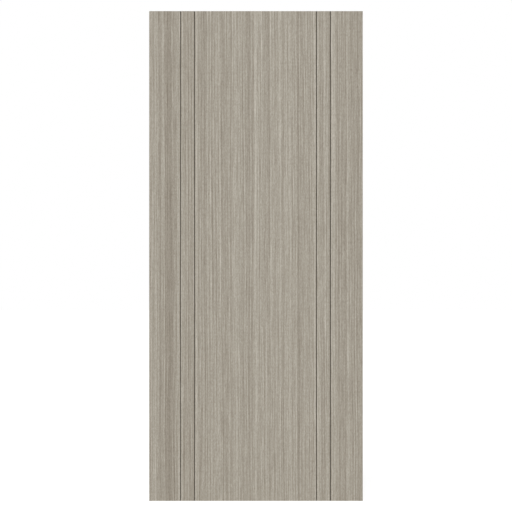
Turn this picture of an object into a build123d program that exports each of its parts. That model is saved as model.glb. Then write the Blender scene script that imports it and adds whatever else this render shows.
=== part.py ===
from build123d import *
import os

# Grooved flush fire door leaf: a solid core in a timber frame, faced both sides with a laminate
# that is formed into upright grooves, and edged down both long sides.
# Frame: +X from the hinge edge to the lock edge, +Y from the front face to the back, +Z up.
# The origin is on the hinge edge, at mid-thickness and at the foot.

# Leaf
LEAF_WIDTH = 864.0
LEAF_HEIGHT = 1981.0
LEAF_THICKNESS = 44.0

# Facings, the same on both faces: a fibreboard with its laminate skin
BOARD_THICKNESS = 5.5
LAMINATE_THICKNESS = 0.5

# Grooves, in two pairs: finished sizes at the laminate's surface
GROOVE_WIDTH = 4.0
GROOVE_FLOOR_WIDTH = 2.6
GROOVE_DEPTH = 2.6
GROOVE_FLOOR_RADIUS = 0.6
GROOVE_SPACING = 56.5
HINGE_MARGIN = 127.0
LOCK_MARGIN = 131.0
BOARD_ARRIS_RADIUS = 0.4

# Edgings down the long sides, over the ends of the facings
EDGING_THICKNESS = 1.5
EDGING_ARRIS_RADIUS = 1.0
LARGEST_ARRIS_SHARE = 0.9

# Timber frame round the core
STILE_WIDTH = 40.0
TOP_RAIL_HEIGHT = 45.0
BOTTOM_RAIL_HEIGHT = 70.0

# Places that follow from the sizes above
CORE_THICKNESS = LEAF_THICKNESS - 2 * (BOARD_THICKNESS + LAMINATE_THICKNESS)
FRONT_FACE = -LEAF_THICKNESS / 2
BOARD_FACE = FRONT_FACE + LAMINATE_THICKNESS
CORE_FACE = -CORE_THICKNESS / 2
FACING_WIDTH = LEAF_WIDTH - 2 * EDGING_THICKNESS
RAIL_START = EDGING_THICKNESS + STILE_WIDTH
RAIL_LENGTH = FACING_WIDTH - 2 * STILE_WIDTH
CORE_HEIGHT = LEAF_HEIGHT - TOP_RAIL_HEIGHT - BOTTOM_RAIL_HEIGHT
GROOVE_CENTRES = [
    HINGE_MARGIN,
    HINGE_MARGIN + GROOVE_SPACING,
    LEAF_WIDTH - LOCK_MARGIN - GROOVE_SPACING,
    LEAF_WIDTH - LOCK_MARGIN,
]
FRONT_TO_BACK = Plane.XZ
HINGE_TO_LOCK = Plane.YZ.offset(LEAF_WIDTH / 2)


def finished_groove():
    """Section of the groove as it is seen, from the face at y 0 inwards, its floor corners rounded."""
    outline = Polygon(
        (-GROOVE_WIDTH / 2, 0),
        (GROOVE_WIDTH / 2, 0),
        (GROOVE_FLOOR_WIDTH / 2, GROOVE_DEPTH),
        (-GROOVE_FLOOR_WIDTH / 2, GROOVE_DEPTH),
        align=None,
    )
    floor_corners = outline.vertices().group_by(Axis.Y)[-1]
    return fillet(floor_corners, GROOVE_FLOOR_RADIUS)


def facing_section(face, groove, arris_radius):
    """Plan section from a face to the core, with the groove cut at every centre and its arrises eased."""
    section = Pos(EDGING_THICKNESS, face) * Rectangle(FACING_WIDTH, CORE_FACE - face, align=Align.MIN)
    for centre in GROOVE_CENTRES:
        section -= Pos(centre, FRONT_FACE) * groove
    arrises = section.vertices().group_by(Axis.Y)[0].sort_by(Axis.X)[1:-1]
    return fillet(arrises, arris_radius)


def facing():
    """The front board and the laminate skin that follows its face and lines its grooves."""
    seen_groove = finished_groove()
    routed_groove = offset(seen_groove, LAMINATE_THICKNESS)
    seen_arris_radius = BOARD_ARRIS_RADIUS + LAMINATE_THICKNESS
    board = facing_section(BOARD_FACE, routed_groove, BOARD_ARRIS_RADIUS)
    skin = facing_section(FRONT_FACE, seen_groove, seen_arris_radius) - board
    return extrude(board, LEAF_HEIGHT), extrude(skin, LEAF_HEIGHT)


def edging():
    """The hinge-side strip, with its two long outer arrises rounded."""
    strip = Rectangle(EDGING_THICKNESS, LEAF_THICKNESS, align=(Align.MIN, Align.CENTER))
    outer_corners = strip.vertices().group_by(Axis.X)[0]
    radius = min(EDGING_ARRIS_RADIUS, LARGEST_ARRIS_SHARE * EDGING_THICKNESS)
    return extrude(fillet(outer_corners, radius), LEAF_HEIGHT)


def timber(start, width, foot, height):
    """A length of frame or core timber as thick as the core, from its start across and its foot up."""
    section = Pos(start, 0, foot) * Rectangle(width, CORE_THICKNESS, align=(Align.MIN, Align.CENTER))
    return extrude(section, height)


front_board, front_laminate = facing()
hinge_edging = edging()
hinge_stile = timber(EDGING_THICKNESS, STILE_WIDTH, 0, LEAF_HEIGHT)

pieces = {
    "core": timber(RAIL_START, RAIL_LENGTH, BOTTOM_RAIL_HEIGHT, CORE_HEIGHT),
    "hinge_stile": hinge_stile,
    "lock_stile": mirror(hinge_stile, about=HINGE_TO_LOCK),
    "top_rail": timber(RAIL_START, RAIL_LENGTH, LEAF_HEIGHT - TOP_RAIL_HEIGHT, TOP_RAIL_HEIGHT),
    "bottom_rail": timber(RAIL_START, RAIL_LENGTH, 0, BOTTOM_RAIL_HEIGHT),
    "front_board": front_board,
    "back_board": mirror(front_board, about=FRONT_TO_BACK),
    "front_laminate": front_laminate,
    "back_laminate": mirror(front_laminate, about=FRONT_TO_BACK),
    "hinge_edging": hinge_edging,
    "lock_edging": mirror(hinge_edging, about=HINGE_TO_LOCK),
}

os.makedirs("parts", exist_ok=True)
for name, piece in pieces.items():
    export_step(piece, f"parts/{name}.step")
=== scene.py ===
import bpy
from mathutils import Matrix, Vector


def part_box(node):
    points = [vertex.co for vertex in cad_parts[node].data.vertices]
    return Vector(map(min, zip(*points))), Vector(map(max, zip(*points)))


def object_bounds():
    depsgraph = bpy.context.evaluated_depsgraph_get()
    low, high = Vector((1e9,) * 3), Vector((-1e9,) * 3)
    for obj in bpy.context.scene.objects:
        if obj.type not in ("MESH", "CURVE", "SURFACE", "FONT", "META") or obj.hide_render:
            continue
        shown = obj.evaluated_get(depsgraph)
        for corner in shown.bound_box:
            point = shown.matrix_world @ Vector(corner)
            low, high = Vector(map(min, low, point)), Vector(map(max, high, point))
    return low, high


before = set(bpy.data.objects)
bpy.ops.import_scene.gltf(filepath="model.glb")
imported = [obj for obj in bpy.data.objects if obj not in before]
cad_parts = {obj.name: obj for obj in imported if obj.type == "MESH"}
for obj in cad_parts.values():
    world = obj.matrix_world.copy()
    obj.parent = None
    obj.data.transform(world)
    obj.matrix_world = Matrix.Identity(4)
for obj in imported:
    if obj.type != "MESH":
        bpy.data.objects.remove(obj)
cad_box = [list(corner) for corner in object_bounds()]

import math

import bpy


# Core
# The slab that makes the leaf a fire door: wood chips and resin pressed flat, sawn to size and
# glued inside the timber frame. The whole leaf hides it.
MM = 0.001


def linear(hex_colour):
    """The linear RGBA of an sRGB hex colour."""
    channels = [int(hex_colour[i:i + 2], 16) / 255 for i in (1, 3, 5)]
    return [c / 12.92 if c <= 0.04045 else ((c + 0.055) / 1.055) ** 2.4 for c in channels] + [1.0]


def add(tree, kind, inputs=(), stops=(), **settings):
    """Adds a shader node with its settings, sets or links its inputs, and gives a ramp its stops."""
    node = tree.nodes.new("ShaderNode" + kind)
    for name, value in settings.items():
        setattr(node, name, value)
    for key, value in dict(inputs).items():
        if isinstance(value, bpy.types.NodeSocket):
            tree.links.new(value, node.inputs[key])
        else:
            node.inputs[key].default_value = value
    # A new ramp has two stops already
    for _ in stops[2:]:
        node.color_ramp.elements.new(1.0)
    for number, (position, colour) in enumerate(stops):
        node.color_ramp.elements[number].position = position
        node.color_ramp.elements[number].color = linear(colour)
    return node


def start_material(name):
    """A new material and its node tree, still empty."""
    material = bpy.data.materials.new(name)
    material.use_nodes = True
    material.node_tree.nodes.clear()
    return material, material.node_tree


def place_in_mm(tree):
    """Where on the leaf the surface is, in mm from its origin."""
    metres = add(tree, "TexCoord").outputs["Object"]
    return add(tree, "VectorMath", {0: metres, "Scale": 1 / MM}, operation="SCALE").outputs[0]


def end_material(tree, inputs):
    """Closes a material with its surface."""
    surface = add(tree, "BsdfPrincipled", inputs)
    add(tree, "OutputMaterial", {"Surface": surface.outputs["BSDF"]})


def dress(node_name, material):
    """Gives one material to all of a CAD piece."""
    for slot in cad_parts[node_name].material_slots:
        slot.material = material


def particleboard():
    """Pressed chips a few millimetres long, pale or dark as they lie, in a dull resin."""
    chip, chip_relief = 5.0, 0.3
    material, tree = start_material("pressed_particleboard")
    cells = add(tree, "TexVoronoi", {"Vector": place_in_mm(tree), "Scale": 1 / chip})
    tone = add(tree, "SeparateColor", {"Color": cells.outputs["Color"]}).outputs["Red"]
    colour = add(tree, "ValToRGB", {"Fac": tone}, stops=[(0.0, "#8E6B43"), (1.0, "#CDAE7C")])
    relief = add(tree, "Bump", {"Height": cells.outputs["Distance"], "Distance": chip_relief * MM})
    end_material(tree, {
        "Base Color": colour.outputs["Color"],
        "Roughness": 0.85,
        "Normal": relief.outputs["Normal"],
    })
    return material


dress("core", particleboard())


# Stiles and rails
# Redwood battens as thick as the core: two full-height stiles, with the rails butted between them.
# Their sawn ends and edges show at the top and foot of the leaf, where it is trimmed to fit.
X, Y, Z = range(3)


def saw_marks(tree, place):
    """The fine ridges that a panel saw leaves across a cut end, a little bent and unevenly deep."""
    pitch, bend, patch = 1.7, 3.0, 12.5
    wander = add(tree, "TexNoise", {"Vector": place, "Scale": 1 / patch, "Detail": 2.0}).outputs["Fac"]
    x = add(tree, "SeparateXYZ", {0: place}).outputs["X"]
    bent = add(tree, "Math", {0: wander, 1: bend, 2: x}, operation="MULTIPLY_ADD")
    phase = add(tree, "Math", {0: bent.outputs[0], 1: 2 * math.pi / pitch}, operation="MULTIPLY")
    wave = add(tree, "Math", {0: phase.outputs[0]}, operation="SINE")
    return add(tree, "Math", {0: wave.outputs[0], 1: wander}, operation="MULTIPLY").outputs[0]


def growth_rings(tree, place, along, pith):
    """Uneven rings about a pith line: pale early wood that darkens slowly to a hard late line."""
    ring, ring_wobble = 2.7, 2.4
    wobble_width, wobble_length = 20.0, 380.0
    slow = [1 / wobble_length if axis == along else 1 / wobble_width for axis in (X, Y, Z)]
    stretched = add(tree, "VectorMath", {0: place, 1: slow}, operation="MULTIPLY")
    wobble = add(tree, "TexNoise", {"Vector": stretched.outputs[0], "Scale": 1.0, "Detail": 3.0})
    offset = add(tree, "VectorMath", {0: place, 1: pith}, operation="SUBTRACT")
    section = [0.0 if axis == along else 1.0 for axis in (X, Y, Z)]
    flat = add(tree, "VectorMath", {0: offset.outputs[0], 1: section}, operation="MULTIPLY")
    radius = add(tree, "VectorMath", {0: flat.outputs[0]}, operation="LENGTH").outputs["Value"]
    uneven = add(tree, "Math", {0: wobble.outputs["Fac"], 1: 2 * ring_wobble, 2: radius},
                 operation="MULTIPLY_ADD")
    years = add(tree, "Math", {0: uneven.outputs[0], 1: ring}, operation="DIVIDE")
    season = add(tree, "Math", {0: years.outputs[0]}, operation="FRACT")
    rings = add(tree, "ValToRGB", {"Fac": season.outputs[0]}, stops=[
        (0.0, "#CDB28A"), (0.45, "#C6A87D"), (0.8, "#A98359"), (0.92, "#976F47"), (1.0, "#C9AD84"),
    ])
    return rings.outputs["Color"]


def redwood(name, along, pith):
    """Sawn redwood, dull and fibrous, its rings about a pith line in mm that runs the batten's way."""
    fibre_width, fibre_length = 0.8, 26.0
    fibre_dark, fibre_pale = 0.7, 1.3
    saw_mark_depth, fibre_relief = 0.08, 0.1
    material, tree = start_material(name)
    place = place_in_mm(tree)

    # Fibres, drawn about three times as coarse as real ones so that they show
    fine = [1 / fibre_length if axis == along else 1 / fibre_width for axis in (X, Y, Z)]
    drawn = add(tree, "VectorMath", {0: place, 1: fine}, operation="MULTIPLY")
    noise = add(tree, "TexNoise", {"Vector": drawn.outputs[0], "Scale": 1.0, "Detail": 2.0})
    fibres = noise.outputs["Fac"]
    shade = add(tree, "MapRange", {"Value": fibres, "To Min": fibre_dark, "To Max": fibre_pale})
    rings = growth_rings(tree, place, along, pith)
    colour = add(tree, "VectorMath", {0: rings, "Scale": shade.outputs[0]}, operation="SCALE")

    ridges = add(tree, "Bump", {"Height": saw_marks(tree, place), "Distance": saw_mark_depth * MM})
    relief = add(tree, "Bump", {
        "Height": fibres, "Distance": fibre_relief * MM, "Normal": ridges.outputs["Normal"],
    })
    end_material(tree, {
        "Base Color": colour.outputs[0],
        "Roughness": 0.8,
        "Specular IOR Level": 0.3,
        "Normal": relief.outputs["Normal"],
    })
    return material


LEAF_WIDTH = (cad_box[1][X] - cad_box[0][X]) / MM
LEAF_HEIGHT = (cad_box[1][Z] - cad_box[0][Z]) / MM
dress("hinge_stile", redwood("sawn_redwood_hinge_stile", along=Z, pith=(-6, 34, 0)))
dress("lock_stile", redwood("sawn_redwood_lock_stile", along=Z, pith=(LEAF_WIDTH - 30, -48, 0)))
dress("top_rail", redwood("sawn_redwood_top_rail", along=X, pith=(0, 9, LEAF_HEIGHT - 38)))
dress("bottom_rail", redwood("sawn_redwood_bottom_rail", along=X, pith=(0, -26, 30)))


# Facing boards
# Dense fibreboard, glued over frame and core and routed with the grooves before it is faced.
# Only its sawn edge shows, as a tan line under the laminate at the top and foot.
def fibreboard(inner_face, outer_face):
    """Wood fibre pressed hot: even tan, darker and harder towards its faces, with a glue line inside."""
    fibre, clump, clump_share = 0.9, 7.0, 0.5
    dense_shade = 0.72
    glue_line, glue_shade = 0.35, 0.45
    saw_mark_depth = 0.06
    material, tree = start_material("sawn_fibreboard")
    place = place_in_mm(tree)

    # Fibres, drawn coarser than the real dust-fine ones so that they show
    fine = add(tree, "TexNoise", {"Vector": place, "Scale": 1 / fibre, "Detail": 3.0, "Roughness": 0.7})
    cloudy = add(tree, "TexNoise", {"Vector": place, "Scale": 1 / clump, "Detail": 2.0})
    mixed = add(tree, "Math", {0: cloudy.outputs["Fac"], 1: clump_share, 2: fine.outputs["Fac"]},
                operation="MULTIPLY_ADD")
    colour = add(tree, "ValToRGB", {"Fac": mixed.outputs[0]}, stops=[
        (0.45, "#7C6347"), (0.75, "#A38661"), (1.0, "#BCA27D"),
    ])

    middle = (inner_face + outer_face) / 2
    half = (outer_face - inner_face) / 2
    y = add(tree, "SeparateXYZ", {0: place}).outputs["Y"]
    depth = add(tree, "Math", {0: y}, operation="ABSOLUTE")
    from_middle = add(tree, "Math", {0: depth.outputs[0], 1: middle}, operation="SUBTRACT")
    off = add(tree, "Math", {0: from_middle.outputs[0]}, operation="ABSOLUTE")
    density = add(tree, "MapRange", {
        "Value": off.outputs[0], "From Min": half / 2, "From Max": half,
        "To Min": 1.0, "To Max": dense_shade,
    })
    glue = add(tree, "MapRange", {
        "Value": depth.outputs[0], "From Min": inner_face, "From Max": inner_face + glue_line,
        "To Min": glue_shade, "To Max": 1.0,
    })
    dark = add(tree, "Math", {0: density.outputs[0], 1: glue.outputs[0]}, operation="MULTIPLY")
    shaded = add(tree, "VectorMath", {0: colour.outputs["Color"], "Scale": dark.outputs[0]},
                 operation="SCALE")
    ridges = add(tree, "Bump", {"Height": saw_marks(tree, place), "Distance": saw_mark_depth * MM})
    end_material(tree, {
        "Base Color": shaded.outputs[0],
        "Roughness": 0.9,
        "Specular IOR Level": 0.2,
        "Normal": ridges.outputs["Normal"],
    })
    return material


board_low, board_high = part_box("back_board")
board_material = fibreboard(board_low[Y] / MM, board_high[Y] / MM)
dress("front_board", board_material)
dress("back_board", board_material)


# Laminate skins
# Half a millimetre of laminate, its paper printed as straight-grained grey wood, pressed hot over each
# grooved board so that it lines the grooves. One sheet covers each face, cut flush at top and foot.
FACE = cad_box[1][Y] / MM
HINGE_MARGIN, LOCK_MARGIN, GROOVE_SPACING = 127.0, 131.0, 56.5
GROOVE_CENTRES = [
    HINGE_MARGIN,
    HINGE_MARGIN + GROOVE_SPACING,
    LEAF_WIDTH - LOCK_MARGIN - GROOVE_SPACING,
    LEAF_WIDTH - LOCK_MARGIN,
]

# The grain leans by this share of its height, and sways this many mm in stretches this wide and long
LEAN = 0.0026
SWAY, SWAY_WIDTH, SWAY_LENGTH = 7.0, 170.0, 430.0
# The print's fine lines: their spacing in mm and strength, several sets so that no two lines are alike
FINE_LINES = [
    (9.0, 0.16),
    (10.5, 0.18),
    (12.5, 0.24),
    (38.0, 0.10),
]
# Its broken streaks, from broad to fine: width and length in mm, and strength
STREAKS = [
    (17.0, 8000.0, 0.70),
    (11.0, 8000.0, 0.90),
    (7.5, 8000.0, 0.90),
    (5.5, 130.0, 0.70),
    (3.0, 18.0, 0.42),
    (2.2, 7.0, 1.15),
    (1.7, 700.0, 0.85),
    (0.8, 260.0, 0.72),
]
# Its boldest streaks: place from the sheet's first edge and half-width in mm, and how light or dark
BOLD_STREAKS = [
    (14.0, 9.0, 0.20),
    (40.0, 14.0, -0.35),
    (82.0, 17.0, -0.40),
    (92.0, 6.0, -0.20),
    (137.0, 26.0, -0.14),
    (175.0, 10.0, -0.20),
    (227.0, 12.0, -0.24),
    (283.0, 14.0, 0.22),
    (316.0, 10.0, -0.30),
    (371.0, 15.0, 0.20),
    (399.0, 11.0, -0.34),
    (426.0, 13.0, 0.17),
    (457.0, 13.0, 0.34),
    (566.0, 24.0, 0.26),
    (606.0, 18.0, -0.20),
    (669.0, 5.0, 0.45),
    (694.0, 12.0, 0.18),
    (846.0, 11.0, -0.45),
]


def grain_place(tree, across, along, sheet):
    """A place in mm on the sheet of that number, measured across and along its leaning, swaying grain."""
    sheet_gap = 10.0
    flat = add(tree, "CombineXYZ", {"X": across, "Y": along, "Z": sheet_gap * sheet})
    slow = add(tree, "VectorMath", {0: flat.outputs[0], 1: (1 / SWAY_WIDTH, 1 / SWAY_LENGTH, 1.0)},
               operation="MULTIPLY")
    bend = add(tree, "TexNoise", {"Vector": slow.outputs[0], "Scale": 1.0, "Detail": 2.0})
    upright = add(tree, "Math", {0: along, 1: LEAN, 2: across}, operation="MULTIPLY_ADD")
    swayed = add(tree, "Math", {0: bend.outputs["Fac"], 1: SWAY, 2: upright.outputs[0]},
                 operation="MULTIPLY_ADD")
    place = add(tree, "CombineXYZ", {"X": swayed.outputs[0], "Y": along, "Z": sheet_gap * sheet})
    return place.outputs[0]


def layer_place(tree, place, width, length, layer):
    """That place counted in a layer's own widths and lengths, with the layer set apart from others."""
    scale = (1 / width, 1 / length, 1.0)
    apart = (0.0, 0.0, layer)
    own_place = add(tree, "VectorMath", {0: place, 1: scale, 2: apart}, operation="MULTIPLY_ADD")
    return own_place.outputs[0]


def add_fine_lines(tree, place, light):
    """Adds the fine lines to the print's light: they drift along the grain and fade in and out."""
    layer_gap, fade_gap = 3.7, 5.3
    drift_length, fade_length, fade_contrast = 250.0, 85.0, 4.5
    # The wave node's lines repeat every tenth of pi
    repeat = math.pi / 10
    for number, (spacing, strength) in enumerate(FINE_LINES):
        spread = layer_place(tree, place, spacing / repeat, drift_length / repeat, layer_gap * number)
        lines = add(tree, "TexWave", {
            "Vector": spread,
            "Scale": 1.0,
            "Distortion": 8.0,
            "Detail": 1.0,
            "Detail Scale": 0.6,
        })
        patches = layer_place(tree, place, spacing, fade_length, fade_gap * number)
        fade = add(tree, "TexNoise", {"Vector": patches, "Scale": 1.0, "Detail": 2.0})
        depth = add(tree, "MapRange", {
            "Value": fade.outputs["Fac"],
            "To Min": strength * (1 - fade_contrast),
            "To Max": strength * (1 + fade_contrast),
        })
        swing = add(tree, "Math", {0: lines.outputs["Fac"], 1: 0.5}, operation="SUBTRACT")
        light = add(tree, "Math", {0: swing.outputs[0], 1: depth.outputs[0], 2: light},
                    operation="MULTIPLY_ADD").outputs[0]
    return light


def add_streaks(tree, place, light):
    """Adds the broken streaks, as noise stretched along the grain."""
    layer_gap = 3.7
    for number, (width, length, strength) in enumerate(STREAKS):
        spread = layer_place(tree, place, width, length, layer_gap * number)
        streaks = add(tree, "TexNoise", {"Vector": spread, "Scale": 1.0, "Detail": 1.0})
        light = add(tree, "Math", {0: streaks.outputs["Fac"], 1: strength, 2: light},
                    operation="MULTIPLY_ADD").outputs[0]
    return light


def add_bold_streaks(tree, place, light):
    """Adds the boldest streaks, each in its place at mid-height, lean and sway allowed for."""
    shift = SWAY / 2 + LEAN * LEAF_HEIGHT / 2
    across = add(tree, "SeparateXYZ", {0: place}).outputs["X"]
    for centre, half_width, strength in BOLD_STREAKS:
        aside = add(tree, "Math", {0: across, 1: centre + shift}, operation="SUBTRACT")
        distance = add(tree, "Math", {0: aside.outputs[0]}, operation="ABSOLUTE")
        streak = add(tree, "MapRange", {
            "Value": distance.outputs[0], "From Max": half_width, "To Min": strength, "To Max": 0.0,
        }, interpolation_type="SMOOTHSTEP")
        light = add(tree, "Math", {0: streak.outputs[0], 1: light}, operation="ADD").outputs[0]
    return light


def pores_in(tree, place):
    """Where the pores are: short dashes, drawn about twice as wide as real ones so that they show."""
    pore_width, pore_length = 0.6, 14.0
    pore_edge, pore_heart = 0.52, 0.68
    dashes = layer_place(tree, place, pore_width, pore_length, 0.0)
    specks = add(tree, "TexNoise", {"Vector": dashes, "Scale": 1.0, "Detail": 1.0})
    pores = add(tree, "MapRange", {
        "Value": specks.outputs["Fac"], "From Min": pore_edge, "From Max": pore_heart,
    })
    return pores.outputs[0]


def wood_print(tree, place, bold):
    """How light the print is, about 0, and where its pores are."""
    pore_shade = -0.40
    # The streaks' noise is about a half, so this brings their sum back to about 0
    light = -sum(strength for _, _, strength in STREAKS) / 2
    light = add_fine_lines(tree, place, light)
    light = add_streaks(tree, place, light)
    if bold:
        light = add_bold_streaks(tree, place, light)
    pores = pores_in(tree, place)
    light = add(tree, "Math", {0: pores, 1: pore_shade, 2: light}, operation="MULTIPLY_ADD").outputs[0]
    return light, pores


def printed_colour(tree, light):
    """The print's warm grey, from its darkest streaks at -1 to its lightest at 1."""
    tone = add(tree, "MapRange", {"Value": light, "From Min": -1.0, "From Max": 1.0})
    colour = add(tree, "ValToRGB", {"Fac": tone.outputs[0]}, stops=[
        (0.0, "#7C7264"), (0.5, "#9E978A"), (1.0, "#C4BEB2"),
    ])
    return colour.outputs["Color"]


def satin_finish(tree, colour, pores):
    """Closes a material as a satin lacquered finish, a soft sheen that is duller in the print's pressed
    pores.
    """
    satin, dull = 0.5, 0.7
    pore_depth = 0.05
    rough = add(tree, "MapRange", {"Value": pores, "To Min": satin, "To Max": dull})
    relief = add(tree, "Bump", {"Height": pores, "Distance": pore_depth * MM}, invert=True)
    end_material(tree, {
        "Base Color": colour,
        "Roughness": rough.outputs[0],
        "Normal": relief.outputs["Normal"],
    })


def paint_arris_highlights(tree, x, light):
    """Paints a highlight on the print beside each groove, as on a lit arris, stronger on the lock side as
    if lit from the hinge side.
    """
    highlight_full, highlight_end = 8.0, 11.0
    hinge_side_highlight, lock_side_highlight = 0.10, 0.30
    for centre in GROOVE_CENTRES:
        aside = add(tree, "Math", {0: x, 1: centre}, operation="SUBTRACT").outputs[0]
        # pale is how strong the painted highlight is on that side
        for side, pale in ((-1, hinge_side_highlight), (1, lock_side_highlight)):
            away = add(tree, "Math", {0: aside, 1: side}, operation="MULTIPLY").outputs[0]
            near = add(tree, "MapRange", {
                "Value": away, "From Min": highlight_end, "From Max": highlight_full, "To Max": pale,
            })
            beside = add(tree, "Math", {0: away, 1: 0.0}, operation="GREATER_THAN")
            light = add(tree, "Math", {0: near.outputs[0], 1: beside.outputs[0], 2: light},
                        operation="MULTIPLY_ADD").outputs[0]
    return light


def paint_groove_shade(tree, y, colour):
    """Paints shade into the grooves, darkening the colour from just under the arris down."""
    shade_start, shade_full = 0.4, 1.2
    out = add(tree, "Math", {0: y}, operation="ABSOLUTE")
    depth = add(tree, "Math", {0: FACE, 1: out.outputs[0]}, operation="SUBTRACT")
    deep = add(tree, "MapRange", {
        "Value": depth.outputs[0], "From Min": shade_start, "From Max": shade_full,
    })
    # The ramp's dark end is the shade painted deep in a groove
    groove_shade = add(tree, "ValToRGB", {"Fac": deep.outputs[0]}, stops=[(0.0, "#FFFFFF"), (1.0, "#6C6559")])
    dark = add(tree, "VectorMath", {0: colour, 1: groove_shade.outputs["Color"]}, operation="MULTIPLY")
    return dark.outputs[0]


def sawn_core(tree, colour):
    """Shows the brown paper core where the sheet is sawn level at top and foot."""
    level = 0.7
    facing = add(tree, "SeparateXYZ", {0: add(tree, "TexCoord").outputs["Normal"]})
    upright = add(tree, "Math", {0: facing.outputs["Z"]}, operation="ABSOLUTE")
    sawn = add(tree, "Math", {0: upright.outputs[0], 1: level}, operation="GREATER_THAN")
    # Sockets 6 and 7 are the two mixed colours, and 2 their mix
    mixed = add(tree, "Mix", {0: sawn.outputs[0], 6: colour, 7: linear("#5A4432")}, data_type="RGBA")
    return mixed.outputs[2]


def laminate(name, sheet, first_edge, way):
    """Printed paper under a satin lacquered finish on a brown paper core, with shade painted in its
    grooves.
    """
    material, tree = start_material(name)
    axes = add(tree, "SeparateXYZ", {0: place_in_mm(tree)}).outputs
    across = add(tree, "Math", {0: axes["X"], 1: way, 2: first_edge}, operation="MULTIPLY_ADD").outputs[0]
    light, pores = wood_print(tree, grain_place(tree, across, axes["Z"], sheet), bold=True)
    # Painted highlights beside the grooves
    light = paint_arris_highlights(tree, axes["X"], light)
    # Painted shade darkens the print inside the grooves
    colour = paint_groove_shade(tree, axes["Y"], printed_colour(tree, light))
    satin_finish(tree, sawn_core(tree, colour), pores)
    return material


# The front sheet's first edge is at the hinge side; the back sheet is turned round, with its first edge
# at the lock side. Of 24 sheets tried, number 17 has its bands nearest to the photograph's.
dress("front_laminate", laminate("printed_laminate_front", sheet=17, first_edge=0.0, way=1.0))
dress("back_laminate", laminate("printed_laminate_back", sheet=1, first_edge=LEAF_WIDTH, way=-1.0))


# Edgings
# Strips of ABS coloured through and printed like the faces, glued down both long sides over the ends
# of the facings, then trimmed flush and their long arrises rounded.
def edging(name, outer_face, sheet):
    """Printed ABS strip: the print lies on its outer face, and trimmed places show the plain plastic."""
    print_depth = 0.25
    material, tree = start_material(name)
    axes = add(tree, "SeparateXYZ", {0: place_in_mm(tree)}).outputs
    light, pores = wood_print(tree, grain_place(tree, axes["Y"], axes["Z"], sheet), bold=False)
    inward = add(tree, "Math", {0: axes["X"], 1: outer_face}, operation="SUBTRACT")
    depth = add(tree, "Math", {0: inward.outputs[0]}, operation="ABSOLUTE")
    kept = add(tree, "Math", {0: depth.outputs[0], 1: print_depth}, operation="LESS_THAN")
    shown = add(tree, "Math", {0: light, 1: kept.outputs[0]}, operation="MULTIPLY")
    satin_finish(tree, printed_colour(tree, shown.outputs[0]), pores)
    return material


dress("hinge_edging", edging("printed_abs_hinge_edging", outer_face=0.0, sheet=2))
dress("lock_edging", edging("printed_abs_lock_edging", outer_face=LEAF_WIDTH, sheet=3))


# Floor and surroundings
# A plain white studio, even all round. The floor under the leaf's foot is grey in the light, so that it
# keeps a soft shadow, and a glow that only the camera and reflections see brings it up to white.
FLOOR_SIDE = 80000.0
FLOOR_COLOUR = "#AAAAAA"
FLOOR_GLOW = 0.68
FILL = 0.35


def seen_directly(tree):
    """1 where the camera sees a surface, straight or in a reflection or through glass, or else 0."""
    path = add(tree, "LightPath").outputs
    straight = add(tree, "Math", {0: path["Is Camera Ray"], 1: path["Is Glossy Ray"]}, operation="MAXIMUM")
    return add(tree, "Math", {0: straight.outputs[0], 1: path["Is Transmission Ray"]},
               operation="MAXIMUM").outputs[0]


world = bpy.data.worlds.new("white_studio")
bpy.context.scene.world = world
world.use_nodes = True
world.node_tree.nodes.clear()
strength = add(world.node_tree, "MapRange", {
    "Value": seen_directly(world.node_tree), "To Min": FILL, "To Max": 1.0,
})
sky = add(world.node_tree, "Background", {"Color": linear("#FFFFFF"), "Strength": strength.outputs[0]})
add(world.node_tree, "OutputWorld", {"Surface": sky.outputs[0]})

floor_material, floor_tree = start_material("matt_white_floor")
matt = add(floor_tree, "BsdfDiffuse", {"Color": linear(FLOOR_COLOUR)})
glow = add(floor_tree, "Math", {0: seen_directly(floor_tree), 1: FLOOR_GLOW}, operation="MULTIPLY")
white = add(floor_tree, "Emission", {"Color": linear("#FFFFFF"), "Strength": glow.outputs[0]})
both = add(floor_tree, "AddShader", {0: matt.outputs[0], 1: white.outputs[0]})
add(floor_tree, "OutputMaterial", {"Surface": both.outputs[0]})
bpy.ops.mesh.primitive_plane_add(size=FLOOR_SIDE * MM, location=(0, 0, cad_box[0][Z]))
floor = bpy.context.object
floor.name = "floor"
floor.data.materials.append(floor_material)


# Lights
# Two wide soft lights far off: the key high in front of the leaf, so that its shadow falls behind it, and
# a lower one behind it for the back face.
LIGHT_SPREAD = 35


def soft_light(name, azimuth, elevation, strength):
    """A far soft light, seen from the leaf at that azimuth and elevation in degrees."""
    lamp = bpy.data.lights.new(name, "SUN")
    lamp.energy = strength * math.pi
    lamp.angle = math.radians(LIGHT_SPREAD)
    light = bpy.data.objects.new(name, lamp)
    light.rotation_euler = (math.radians(90 - elevation), 0, math.radians(azimuth))
    bpy.context.collection.objects.link(light)


soft_light("key_light", azimuth=-5, elevation=42, strength=0.84)
soft_light("back_light", azimuth=150, elevation=15, strength=0.7)


# Camera
# Straight on to the middle of the front face, through a lens so long that neither long edge shows. The
# leaf is as tall in the frame as in the photograph, both given in pixels.
PHOTO_SIDE = 512
LEAF_IN_PHOTO = 489.8
LENS, SENSOR = 200.0, 36.0
frame_side = LEAF_HEIGHT * MM * PHOTO_SIDE / LEAF_IN_PHOTO
camera_data = bpy.data.cameras.new("camera")
camera_data.lens = LENS
camera_data.sensor_width = SENSOR
camera = bpy.data.objects.new("camera", camera_data)
camera.location = (
    (cad_box[0][X] + cad_box[1][X]) / 2,
    cad_box[0][Y] - frame_side * LENS / SENSOR,
    (cad_box[0][Z] + cad_box[1][Z]) / 2,
)
camera.rotation_euler = (math.radians(90), 0, 0)
bpy.context.collection.objects.link(camera)
bpy.context.scene.camera = camera
bpy.context.scene.view_settings.view_transform = "Standard"
